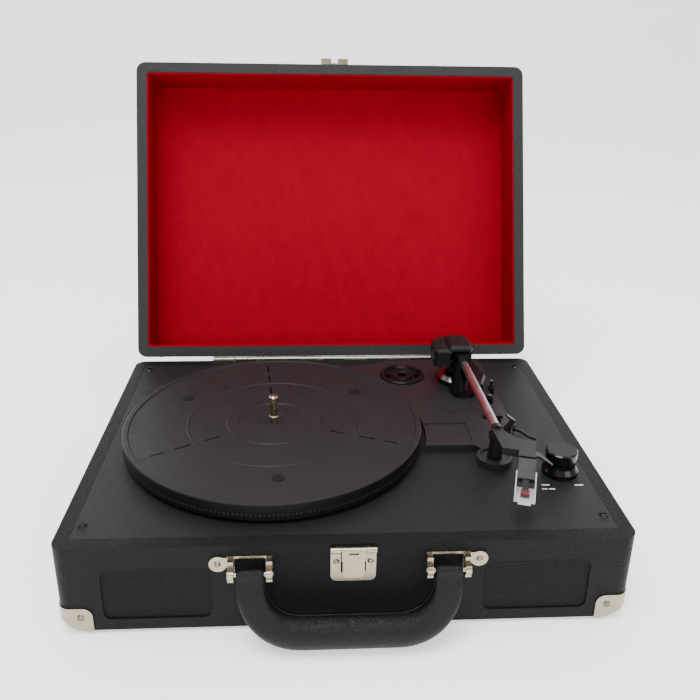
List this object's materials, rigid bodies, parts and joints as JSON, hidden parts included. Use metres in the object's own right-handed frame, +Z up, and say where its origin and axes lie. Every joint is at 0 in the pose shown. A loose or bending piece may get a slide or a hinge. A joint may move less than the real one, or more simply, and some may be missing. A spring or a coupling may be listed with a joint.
{
  "type": "portable suitcase record player",
  "caption": "Open suitcase record player: belt-driven platter, straight tonearm with cueing lever, slide switches and volume knob in a hinged, latched, felt-lined case with a carrying handle.",
  "frame": {"origin": "centre of the case's footprint, on the underside of its bottom panel's level, at table height", "axes": "+X to the right seen from the front, +Y to the back (the hinge side), +Z up"},
  "size_m": [0.3564, 0.4431, 0.3187],
  "materials": {
    "black_plastic": "matt",
    "black_screw": "satin",
    "board": "matt",
    "brass": "satin",
    "circuit": "matt",
    "felt": "matt",
    "gloss_black": "gloss",
    "leatherette": "satin",
    "lid_leatherette": "satin",
    "mesh": "satin",
    "nickel": "polished",
    "padding": "satin",
    "platter_metal": "satin",
    "red_plastic": "gloss",
    "rubber": "matt",
    "steel": "satin"
  },
  "bodies": {
    "base": {"case_shell": "leatherette", "bottom_panel": "board", "panel_screws": "black_screw", "rubber_feet": "rubber", "base_corner_guards": "nickel", "base_screws": "steel", "deck_panel": "leatherette", "mechanism_plate": "black_plastic", "bearing_housing": "brass", "motor": "steel", "tonearm_base": "gloss_black", "pivot_ring": "steel", "pivot_shaft": "steel", "arm_rest": "black_plastic", "lift_housing": "black_plastic", "switch_block": "black_plastic", "volume_pot": "steel", "circuit_board": "circuit", "jack_plate": "black_plastic", "power_jack": "black_plastic", "audio_jacks": "brass", "speakers": "black_plastic", "grille_left": "mesh", "grille_right": "mesh", "hinge_base_leaf": "steel", "hinge_pin": "steel", "latch_plate": "nickel", "latch_pin": "steel", "handle_bracket_left": "nickel", "handle_bracket_right": "nickel", "handle_pins": "steel", "drive_belt": "rubber"},
    "platter": {"platter": "platter_metal", "platter_pads": "rubber", "spindle": "nickel"},
    "motor_rotor": {"motor_pulley": "brass"},
    "adapter": {"adapter_45": "black_plastic"},
    "arm_swing": {"pivot_housing": "gloss_black", "pivot_pin": "steel"},
    "arm_lift": {"tonearm_holder": "black_plastic", "tonearm_tube": "black_plastic", "headshell": "gloss_black", "finger_lift": "steel", "cartridge": "gloss_black", "stylus": "red_plastic"},
    "guard": {"stylus_guard": "gloss_black"},
    "clip": {"arm_clip": "black_plastic"},
    "cue_lever": {"cue_lever": "black_plastic"},
    "cue_platform": {"cue_platform": "black_plastic"},
    "speed_switch": {"speed_switch": "black_plastic"},
    "stop_switch": {"stop_switch": "black_plastic"},
    "knob": {"volume_knob": "black_plastic"},
    "latch": {"latch_lever": "nickel"},
    "handle": {"handle_grip": "padding"},
    "lid": {"lid_shell": "lid_leatherette", "lid_lining": "felt", "lid_corner_guards": "nickel", "lid_screws": "steel", "lid_catch": "nickel", "hinge_lid_leaf": "steel"}
  },
  "joints": [
    {"name": "lid_hinge", "type": "hinge", "parent": "base", "child": "lid", "pos_m": [0, 0.1363, 0.06315], "axis": [1, 0, 0], "range_deg": [0, 111.7]},
    {"name": "handle_swing", "type": "hinge", "parent": "base", "child": "handle", "pos_m": [0, -0.1405, 0.0474], "axis": [-1, 0, 0], "range_deg": [0, 100]},
    {"name": "latch_lift", "type": "hinge", "parent": "base", "child": "latch", "pos_m": [0.0022, -0.1369, 0.0604], "axis": [-1, 0, 0], "range_deg": [0, 60]},
    {"name": "platter_spin", "type": "hinge", "parent": "base", "child": "platter", "pos_m": [-0.0496, -0.004, 0.063], "axis": [0, 0, -1], "continuous": true},
    {"name": "motor_spin", "type": "hinge", "parent": "base", "child": "motor_rotor", "pos_m": [-0.1228, 0.0578, 0.063], "axis": [0, 0, -1], "continuous": true},
    {"name": "tonearm_swing", "type": "hinge", "parent": "base", "child": "arm_swing", "pos_m": [0.1036, 0.0818, 0.063], "axis": [0, 0, -1], "range_deg": [0, 46]},
    {"name": "tonearm_lift", "type": "hinge", "parent": "arm_swing", "child": "arm_lift", "pos_m": [0.1036, 0.0818, 0.0926], "axis": [-1, 0, 0], "range_deg": [0, 3]},
    {"name": "guard_slide", "type": "slide", "parent": "arm_lift", "child": "guard", "axis": [-0.2857, -0.9583, 0], "range_m": [0, 0.012]},
    {"name": "clip_close", "type": "hinge", "parent": "base", "child": "clip", "pos_m": [0.1128, -0.037, 0.081], "axis": [0, -1, 0], "range_deg": [0, 35]},
    {"name": "cue_lift", "type": "hinge", "parent": "base", "child": "cue_lever", "pos_m": [0.12955, -0.0118, 0.0716], "axis": [-1, 0, 0], "range_deg": [0, 40]},
    {"name": "cue_rise", "type": "slide", "parent": "base", "child": "cue_platform", "axis": [0, 0, 1], "range_m": [0, 0.003]},
    {"name": "speed_slide", "type": "slide", "parent": "base", "child": "speed_switch", "axis": [0, 1, 0], "range_m": [-0.004, 0.004]},
    {"name": "stop_slide", "type": "slide", "parent": "base", "child": "stop_switch", "axis": [0, 1, 0], "range_m": [0, 0.004]},
    {"name": "volume_turn", "type": "hinge", "parent": "base", "child": "knob", "pos_m": [0.1504, -0.0592, 0.063], "axis": [0, 0, -1], "range_deg": [0, 300]},
    {"name": "adapter_out", "type": "slide", "parent": "base", "child": "adapter", "axis": [0, 0, 1], "range_m": [0, 0.015]}
  ],
  "couplings": [
    {"joint": "motor_spin", "follows": "platter_spin", "ratio": 16.485},
    {"joint": "cue_lift", "follows": "cue_rise", "rad_per_m": 232}
  ]
}
